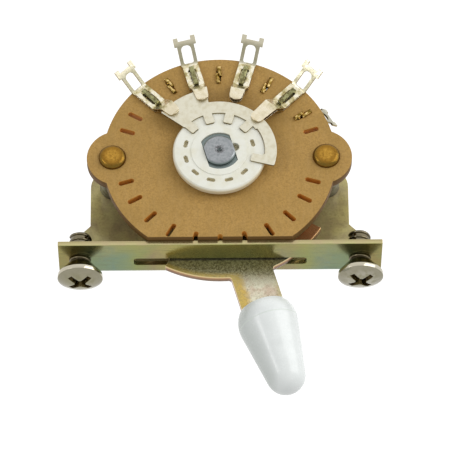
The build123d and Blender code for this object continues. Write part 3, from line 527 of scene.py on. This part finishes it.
# The lever is stamped from thicker steel and has the frame's zinc coat.
# Crystals in the coat mottle its fan grey, one side of its arm has stayed yellow, and its cut
# edges are copper, with a painted highlight along the front and painted shade towards the back.
LEVER_LEAN = math.radians(15.5)
LEVER_EDGE = 0.09 * MM
LEVER_BEIGE = (216, 212, 188)
LEVER_PINK = (196, 178, 156)
LEVER_YELLOW = (204, 168, 72)
LEVER_GREY = (164, 161, 132)
LEVER_SPECK = (104, 98, 70)
LEVER_GRAIN = (132, 124, 98)
LEVER_WAFER_REFLECTION = (196, 144, 96)
LEVER_EDGE_HIGHLIGHT = (236, 214, 164)
LEVER_COPPER = (182, 136, 98)
LEVER_EDGE_SHADE = (124, 92, 70)
LEVER_OLIVE = (176, 164, 96)
LEVER_BORDER = (186, 164, 92)
LEVER_FRONT_Y = 0.075 * MM
LEVER_BACK_Y = 1.325 * MM
LEVER_CENTRE = (0, (LEVER_FRONT_Y + LEVER_BACK_Y) / 2, PIVOT_Z)
FAN_TOP_Z = 2.9 * MM
FAN_RADIUS = 17.6 * MM
ARM_HALF = 3.175 * MM
ARM_DRIFT = 2 * MM
YELLOW_BAND = (2.3 * MM, 3.1 * MM)
OLIVE_BAND = (-2.1 * MM, -1.3 * MM)
INSIDE_BAND = (-3 * MM, -0.8 * MM)
FAR_END_BAND = (-11 * MM, -7 * MM)


def on_arm(finish, axis):
    """A coordinate in the lever's own frame: X across its arm, Z along it from the pivot."""
    place = add_node(finish, "ShaderNodeTexCoord")
    to_pivot = (-PIVOT_Z * math.sin(LEVER_LEAN), 0, -PIVOT_Z * math.cos(LEVER_LEAN))
    turn = add_node(finish, "ShaderNodeMapping", {"Location": to_pivot, "Rotation": (0, LEVER_LEAN, 0)})
    split = add_node(finish, "ShaderNodeSeparateXYZ")
    joined(finish, place.outputs["Object"], turn.inputs["Vector"])
    joined(finish, turn.outputs["Vector"], split.inputs["Vector"])
    return split.outputs[axis]


lever_coat, lever_shader = new_finish("lever_chromate", 0.27, metallic=0.75)
hue = ramp(lever_coat, noise(lever_coat, 2.2 * MM, detail=3), [(0.42, LEVER_BEIGE), (0.6, LEVER_PINK)])
across = on_arm(lever_coat, "X")
height = coordinate(lever_coat, "Z")
ragged = drifting(lever_coat, across, 1.5 * MM, ARM_DRIFT)
stripe = ranged(lever_coat, ragged, 0.0, 0.9, *YELLOW_BAND)
hue = blended(lever_coat, stripe, hue, LEVER_YELLOW)
far_side = ranged(lever_coat, ragged, 0.5, 0.0, *OLIVE_BAND)
hue = blended(lever_coat, far_side, hue, LEVER_OLIVE)
fan = ranged(lever_coat, height, 1.0, 0.0, FAN_TOP_Z - 0.6 * MM, FAN_TOP_Z + 2.2 * MM)
crystals = noise(lever_coat, 0.34 * MM, detail=5, roughness=0.75)
mottle = ramp(lever_coat, crystals, [(0.43, LEVER_SPECK), (0.57, LEVER_GREY)])
hue = blended(lever_coat, fan, hue, mottle)
reach = from_point(lever_coat, LEVER_CENTRE)
border = ranged(lever_coat, reach, 0.0, 0.8, FAN_RADIUS - 0.9 * MM, FAN_RADIUS - 0.2 * MM)
before_arm = ranged(lever_coat, across, 0.0, 1.0, ARM_HALF - 2 * MM, ARM_HALF)
hue = blended(lever_coat, times(lever_coat, border, before_arm), hue, LEVER_BORDER)
hue = blended(lever_coat, ranged(lever_coat, crystals, 0.0, 0.6, 0.48, 0.66), hue, LEVER_GRAIN)
# Where the far end lies behind the wafer it is painted orange brown as a painted reflection of the wafer.
inside = ranged(lever_coat, height, 1.0, 0.0, *INSIDE_BAND)
far_end = ranged(lever_coat, coordinate(lever_coat, "X"), 1.0, 0.0, *FAR_END_BAND)
hue = blended(lever_coat, times(lever_coat, inside, far_end), hue, LEVER_WAFER_REFLECTION)
cut = ranged(lever_coat, facing(lever_coat, "Y"), 0.9, 0.0, 0.5, 0.92)
depth = ranged(lever_coat, coordinate(lever_coat, "Y"), 0.0, 1.0, LEVER_FRONT_Y, LEVER_BACK_Y)
# The cut edges carry a painted highlight at the front and painted shade towards the back.
edge_hue = ramp(lever_coat, depth, [(0.05, LEVER_EDGE_HIGHLIGHT), (0.3, LEVER_COPPER), (0.6, LEVER_EDGE_SHADE)])
hue = blended(lever_coat, cut, hue, edge_hue)
joined(lever_coat, hue, lever_shader.inputs["Base Color"])
bumped(lever_coat, lever_shader, crystals, 0.014 * MM)
dress("lever", lever_coat, LEVER_EDGE)


# The tip is moulded in glossy white plastic and pushed on the lever's tongue.
# Its skin is slightly hazy, one flank is painted darker as painted shade, and a faint mould line runs
# round its shoulder.
KNOB_WHITE = (236, 240, 238)
KNOB_SHADE = (231, 235, 233)
KNOB_FLANK_SHADE = (202, 208, 203)
KNOB_SEAM = (220, 228, 220)
SEAM_REACH = 26.35 * MM
SEAM_CORE = 0.02 * MM
SEAM_HALF = 0.12 * MM

gloss, gloss_shader = new_finish("gloss_white", 0.22)
haze = noise(gloss, 2.2 * MM, detail=3)
color = ramp(gloss, haze, [(0.36, KNOB_SHADE), (0.6, KNOB_WHITE)])
place = add_node(gloss, "ShaderNodeTexCoord")
outward = add_node(gloss, "ShaderNodeSeparateXYZ")
joined(gloss, place.outputs["Normal"], outward.inputs["Vector"])
# The flank facing +X is painted darker as painted shade.
flank = ranged(gloss, outward.outputs["X"], 0.0, 1.0, 0.35, 0.95)
color = blended(gloss, flank, color, KNOB_FLANK_SHADE)
along = on_arm(gloss, "Z")
rising = ranged(gloss, along, 0.0, 1.0, SEAM_REACH - SEAM_HALF, SEAM_REACH - SEAM_CORE)
falling = ranged(gloss, along, 1.0, 0.0, SEAM_REACH + SEAM_CORE, SEAM_REACH + SEAM_HALF)
seam = times(gloss, rising, falling)
joined(gloss, blended(gloss, seam, color, KNOB_SEAM), gloss_shader.inputs["Base Color"])
joined(gloss, ranged(gloss, noise(gloss, 0.6 * MM), 0.2, 0.3, 0.3, 0.7), gloss_shader.inputs["Roughness"])
bumped(gloss, gloss_shader, noise(gloss, 0.9 * MM, detail=2), 0.008 * MM)
bumped(gloss, gloss_shader, seam, -0.012 * MM)
dress("knob", gloss)


# The mounting screws are nickel-plated steel with oval heads and a cross recess.
# Each has a rolled thread that turns in the strip's tapped hole.
SCREW_COUNT = 2
SCREW_SPACING = 41.3 * MM
SCREW_EDGE = 0.05 * MM
THREAD_PITCH = 0.794 * MM
THREAD_RADIUS = 1.48 * MM
THREAD_HEIGHT = 0.2 * MM
THREAD_START_Z = -3.85 * MM
THREAD_LENGTH = 4.3 * MM
TURN_STEPS = 40
RIDGE_SIDES = 6
HEAD_LOW_Z = 2.5 * MM
RECESS_RADIUS = 2.15 * MM
OUTER_BAND = (1.8 * MM, 2.9 * MM)
WARM_SIDE_BAND = (-5 * MM, 5 * MM)
NICKEL = (168, 164, 148)
NICKEL_WARM = (150, 145, 122)
NICKEL_FILM = (134, 130, 102)
NICKEL_RIM_HIGHLIGHT = (184, 178, 160)
NICKEL_RECESS_SHADE = (136, 127, 99)
NICKEL_OUTER_REFLECTION = (146, 141, 122)
NICKEL_SHANK_SHADE = (112, 104, 84)

nickel, nickel_shader = new_finish("nickel_plate", 0.16, metallic=1.0)
film = noise(nickel, 0.9 * MM, detail=4)
# The screw on the +X side is coloured warmer and darker.
warmer_side = ranged(nickel, coordinate(nickel, "X"), 0.0, 1.0, *WARM_SIDE_BAND)
plate = blended(nickel, warmer_side, NICKEL, NICKEL_WARM)
plate = blended(nickel, ranged(nickel, film, 0.0, 0.7, 0.42, 0.62), plate, NICKEL_FILM)
off_axis = from_pair(nickel, SCREW_SPACING / 2, "Y")
# A darker band round each head is a painted reflection.
plate = blended(nickel, ranged(nickel, off_axis, 0.0, 0.8, *OUTER_BAND), plate, NICKEL_OUTER_REFLECTION)
# The head's sloping sides are painted lighter as a painted highlight.
rim = ranged(nickel, facing(nickel, "Z"), 1.0, 0.0, 0.1, 0.6)
plate = blended(nickel, rim, plate, NICKEL_RIM_HIGHLIGHT)
# The cross recess is painted darker as painted shade.
inside = ranged(nickel, off_axis, 1.0, 0.0, RECESS_RADIUS - 0.1 * MM, RECESS_RADIUS + 0.1 * MM)
upright = ranged(nickel, facing(nickel, "Z"), 1.0, 0.0, 0.6, 0.85)
plate = blended(nickel, times(nickel, inside, upright), plate, NICKEL_RECESS_SHADE)
# The shank and thread under the head are painted darker as painted shade and a painted reflection of the
# strip.
below = ranged(nickel, coordinate(nickel, "Z"), 1.0, 0.0, HEAD_LOW_Z - 0.2 * MM, HEAD_LOW_Z)
joined(nickel, blended(nickel, below, plate, NICKEL_SHANK_SHADE), nickel_shader.inputs["Base Color"])
bumped(nickel, nickel_shader, noise(nickel, 0.5 * MM, detail=3), 0.006 * MM)
for end in ("left", "right"):
    dress(f"mounting_screw_{end}", nickel, SCREW_EDGE)

thread_tree = bpy.data.node_groups.new("screw_thread", "GeometryNodeTree")
thread_sizes = {
    "Spacing": SCREW_SPACING, "Pitch": THREAD_PITCH, "Radius": THREAD_RADIUS, "Height": THREAD_HEIGHT,
    "Length": THREAD_LENGTH, "Start": THREAD_START_Z}
thread_sockets = {}
for name in thread_sizes:
    socket = thread_tree.interface.new_socket(name=name, in_out="INPUT", socket_type="NodeSocketFloat")
    thread_sockets[name] = socket.identifier
thread_tree.interface.new_socket(name="Geometry", in_out="OUTPUT", socket_type="NodeSocketGeometry")


def step(kind, **settings):
    """A node of the thread's tree."""
    node = thread_tree.nodes.new(kind)
    for name, value in settings.items():
        setattr(node, name, value)
    return node


def led(source, target):
    """Leads one socket of the thread's tree to another."""
    thread_tree.links.new(source, target)


sizes = step("NodeGroupInput")
turns = step("ShaderNodeMath", operation="DIVIDE")
led(sizes.outputs["Length"], turns.inputs[0])
led(sizes.outputs["Pitch"], turns.inputs[1])
helix = step("GeometryNodeCurveSpiral")
helix.inputs["Resolution"].default_value = TURN_STEPS
led(turns.outputs["Value"], helix.inputs["Rotations"])
led(sizes.outputs["Radius"], helix.inputs["Start Radius"])
led(sizes.outputs["Radius"], helix.inputs["End Radius"])
led(sizes.outputs["Length"], helix.inputs["Height"])
ridge = step("GeometryNodeCurvePrimitiveCircle")
ridge.inputs["Resolution"].default_value = RIDGE_SIDES
led(sizes.outputs["Height"], ridge.inputs["Radius"])
swept = step("GeometryNodeCurveToMesh")
swept.inputs["Fill Caps"].default_value = True
led(helix.outputs["Curve"], swept.inputs["Curve"])
led(ridge.outputs["Curve"], swept.inputs["Profile Curve"])
half_spacing = step("ShaderNodeMath", operation="MULTIPLY")
half_spacing.inputs[1].default_value = -0.5
led(sizes.outputs["Spacing"], half_spacing.inputs[0])
first_place = step("ShaderNodeCombineXYZ")
led(half_spacing.outputs["Value"], first_place.inputs["X"])
led(sizes.outputs["Start"], first_place.inputs["Z"])
apart = step("ShaderNodeCombineXYZ")
led(sizes.outputs["Spacing"], apart.inputs["X"])
places = step("GeometryNodeMeshLine")
places.inputs["Count"].default_value = SCREW_COUNT
led(first_place.outputs["Vector"], places.inputs["Start Location"])
led(apart.outputs["Vector"], places.inputs["Offset"])
copies = step("GeometryNodeInstanceOnPoints")
led(places.outputs["Mesh"], copies.inputs["Points"])
led(swept.outputs["Mesh"], copies.inputs["Instance"])
real = step("GeometryNodeRealizeInstances")
led(copies.outputs["Instances"], real.inputs["Geometry"])
plating = step("GeometryNodeSetMaterial")
plating.inputs["Material"].default_value = nickel
led(real.outputs["Geometry"], plating.inputs["Geometry"])
led(plating.outputs["Geometry"], step("NodeGroupOutput").inputs["Geometry"])

threads = bpy.data.objects.new("screw_threads", bpy.data.meshes.new("screw_threads"))
bpy.context.scene.collection.objects.link(threads)
rolling = threads.modifiers.new("Thread", "NODES")
rolling.node_group = thread_tree
for name, value in thread_sizes.items():
    rolling[thread_sockets[name]] = value
evaluated = threads.evaluated_get(bpy.context.evaluated_depsgraph_get())
thread_mesh = bpy.data.meshes.new_from_object(evaluated)
threads.modifiers.clear()
threads.data = thread_mesh
for polygon in thread_mesh.polygons:
    polygon.use_smooth = True
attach(threads, "switch_frame")


# The stage is a pale floor under the part, two soft lamps and a pale room.
# The camera and anything that mirrors or lets light through see the floor and the room white.
FLOOR_DROP = 300 * MM
FLOOR_HALF = 3000 * MM
FLOOR_GLOW = 0.55
FLOOR_GREY = (0.9, 0.9, 0.9, 1)
WHITE = (1, 1, 1, 1)
ROOM_STRENGTH = 0.62
KEY_PLACE = (-320 * MM, -260 * MM, -100 * MM)
KEY_SIZE = (400 * MM, 300 * MM)
KEY_WATTS = 0.85
SIDE_PLACE = (285 * MM, -307 * MM, -10 * MM)
SIDE_SIZE = (80 * MM, 160 * MM)
SIDE_WATTS = 0.2
CAMERA_PLACE = (1.59 * MM, -472.701 * MM, 274.072 * MM)
CAMERA_TURN = (math.radians(-59.3674), math.radians(-0.494), math.radians(179.9914))
CAMERA_ANGLE = math.radians(6.958)

floor_mesh = bpy.data.meshes.new("floor")
floor_mesh.from_pydata(
    [(x * FLOOR_HALF, y * FLOOR_HALF, -FLOOR_DROP) for x, y in ((-1, -1), (1, -1), (1, 1), (-1, 1))],
    [], [(0, 1, 2, 3)])
floor = bpy.data.objects.new("floor", floor_mesh)
bpy.context.scene.collection.objects.link(floor)


def seen_directly(tree):
    """The factor of the rays that come from the camera, a mirror or something clear."""
    rays = tree.nodes.new("ShaderNodeLightPath")
    total = rays.outputs["Is Camera Ray"]
    for kind in ("Is Glossy Ray", "Is Transmission Ray"):
        either = tree.nodes.new("ShaderNodeMath")
        either.operation = "MAXIMUM"
        tree.links.new(total, either.inputs[0])
        tree.links.new(rays.outputs[kind], either.inputs[1])
        total = either.outputs["Value"]
    return total


paper, paper_shader = new_finish("floor_paper", 0.9)
paper_shader.inputs["Base Color"].default_value = FLOOR_GREY
paper_shader.inputs["Emission Color"].default_value = WHITE
glow = add_node(paper, "ShaderNodeMath", {1: FLOOR_GLOW}, operation="MULTIPLY")
joined(paper, seen_directly(paper.node_tree), glow.inputs[0])
joined(paper, glow.outputs["Value"], paper_shader.inputs["Emission Strength"])
floor_mesh.materials.append(paper)

world = bpy.data.worlds.new("room")
bpy.context.scene.world = world
world.use_nodes = True
air = world.node_tree
room = air.nodes["Background"]
room.inputs["Color"].default_value = WHITE
room.inputs["Strength"].default_value = ROOM_STRENGTH
backdrop = air.nodes.new("ShaderNodeBackground")
backdrop.inputs["Color"].default_value = WHITE
chosen = air.nodes.new("ShaderNodeMixShader")
air.links.new(seen_directly(air), chosen.inputs[0])
air.links.new(room.outputs[0], chosen.inputs[1])
air.links.new(backdrop.outputs[0], chosen.inputs[2])
air.links.new(chosen.outputs[0], air.nodes["World Output"].inputs["Surface"])


def lamp(name, place, size, watts):
    """A soft lamp that looks at the pivot."""
    light = bpy.data.lights.new(name, "AREA")
    light.shape = "RECTANGLE"
    light.size, light.size_y = size
    light.energy = watts
    body = bpy.data.objects.new(name, light)
    body.location = place
    aim = Vector((0, 0, PIVOT_Z)) - body.location
    body.rotation_euler = aim.to_track_quat("-Z", "Y").to_euler()
    bpy.context.scene.collection.objects.link(body)


lamp("key_box", KEY_PLACE, KEY_SIZE, KEY_WATTS)
lamp("side_box", SIDE_PLACE, SIDE_SIZE, SIDE_WATTS)

camera_data = bpy.data.cameras.new("camera")
camera = bpy.data.objects.new("camera", camera_data)
bpy.context.scene.collection.objects.link(camera)
camera_data.angle = CAMERA_ANGLE
camera.location = CAMERA_PLACE
camera.rotation_euler = CAMERA_TURN
bpy.context.scene.camera = camera
bpy.context.scene.view_settings.view_transform = "Standard"
